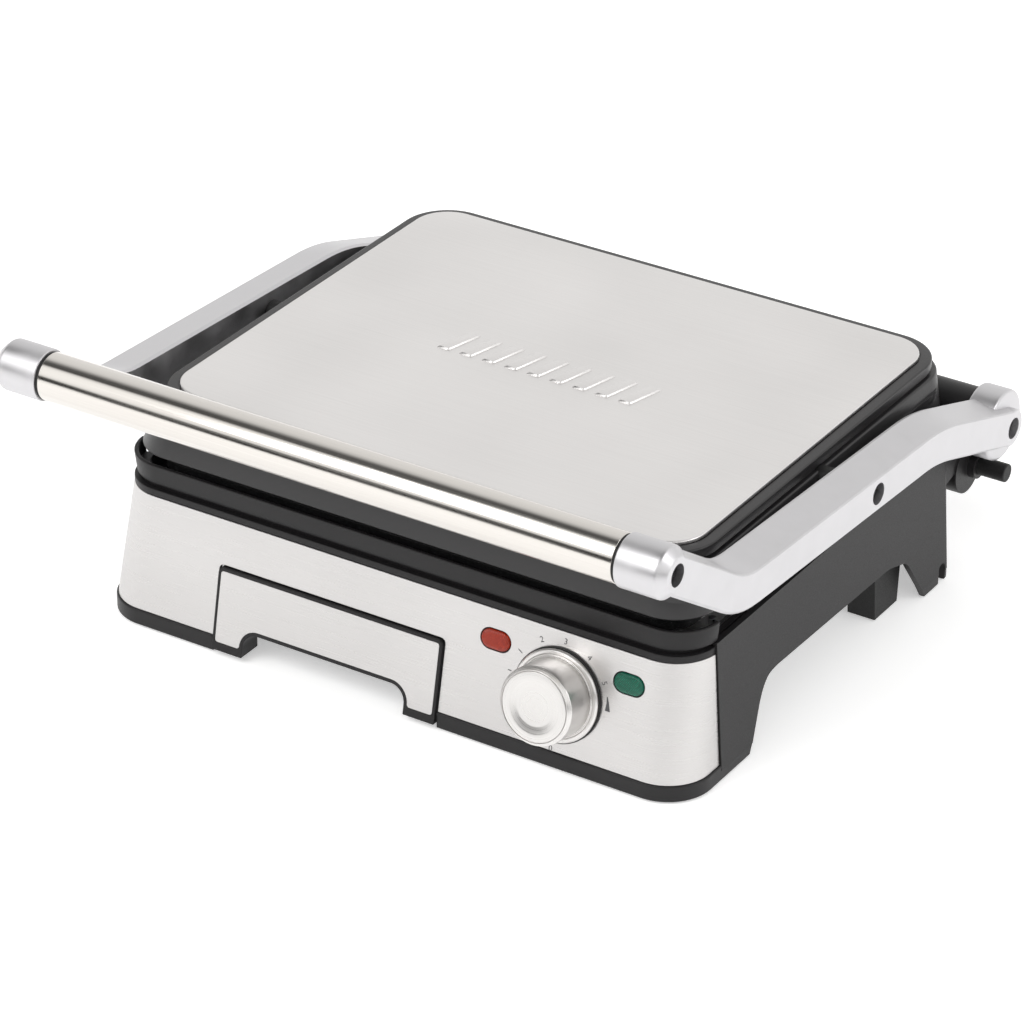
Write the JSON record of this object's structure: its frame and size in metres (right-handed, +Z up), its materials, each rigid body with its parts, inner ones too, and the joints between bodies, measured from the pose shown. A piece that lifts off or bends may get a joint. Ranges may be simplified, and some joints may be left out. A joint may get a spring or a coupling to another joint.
{
  "type": "panini press",
  "caption": "Contact grill with a floating lid on two cast arms, a bar handle, a thermostat knob and a drip drawer.",
  "frame": {"origin": "on the table, under the middle of the overall box", "axes": "+X to the right seen from the front, +Y to the back, where the hinge is, +Z up"},
  "size_m": [0.386, 0.38, 0.1735],
  "materials": {
    "dark_plastic": "satin",
    "brushed_fascia": "brushed",
    "polished_tube": "polished",
    "cast_arm": "satin",
    "lid_steel": "satin",
    "plate_coating": "non-stick coating",
    "plated_steel": "zinc plated",
    "heater_sheath": "dull",
    "lens_red": "gloss",
    "lens_green": "gloss",
    "light_plastic": "matte",
    "rubber_black": "matte",
    "knob_metal": "satin"
  },
  "bodies": {
    "base": {"base_housing": "dark_plastic", "front_fascia": "brushed_fascia", "bottom_cover": "dark_plastic", "drawer_rails": "plated_steel", "top_deck": "dark_plastic", "lower_frame": "dark_plastic", "lower_plate": "plate_coating", "lower_element": "heater_sheath", "lower_reflector": "plated_steel", "drain_chute": "plated_steel", "thermostat_body": "light_plastic", "lamp_red": "lens_red", "lamp_green": "lens_green", "lamp_holders": "light_plastic", "terminal_block": "light_plastic", "thermal_fuse": "light_plastic", "cord_gland": "rubber_black", "rubber_feet": "rubber_black", "base_screws": "plated_steel", "hinge_bridge": "dark_plastic", "hinge_bushes": "light_plastic"},
    "arms": {"arm_left": "cast_arm", "arm_right": "cast_arm", "handle_tube": "polished_tube", "handle_rings": "dark_plastic", "handle_rod": "plated_steel", "handle_screws": "plated_steel", "hinge_shaft": "plated_steel", "hinge_screws": "plated_steel", "pivot_pins": "plated_steel"},
    "lid": {"lid_housing": "dark_plastic", "lid_cover": "lid_steel", "upper_plate": "plate_coating", "upper_element": "heater_sheath", "upper_reflector": "plated_steel", "pivot_bushes": "light_plastic", "lid_screws": "plated_steel"},
    "knob": {"knob_skirt": "knob_metal", "knob_cap": "knob_metal", "knob_spindle": "plated_steel"},
    "drawer": {"drawer_tray": "dark_plastic", "drawer_front": "dark_plastic", "drawer_face": "brushed_fascia"},
    "release": {"release_pin": "dark_plastic"}
  },
  "joints": [
    {"name": "arm_hinge", "type": "hinge", "parent": "base", "child": "arms", "pos_m": [0, 0.1705, 0.0794], "axis": [-1, 0, 0], "range_deg": [0, 176.5]},
    {"name": "lid_float", "type": "hinge", "parent": "arms", "child": "lid", "pos_m": [0, 0.0204, 0.11056], "axis": [-1, 0, 0], "range_deg": [-1.5, 1.5]},
    {"name": "knob_turn", "type": "hinge", "parent": "base", "child": "knob", "pos_m": [0.0993, -0.12705, 0.0392], "axis": [0, 0.9818, -0.19], "range_deg": [0, 265]},
    {"name": "drawer_slide", "type": "slide", "parent": "base", "child": "drawer", "axis": [0, -1, 0], "range_m": [0, 0.17]},
    {"name": "release_push", "type": "slide", "parent": "base", "child": "release", "axis": [-1, 0, 0], "range_m": [0, 0.006], "stiffness_N_per_m": 400}
  ]
}
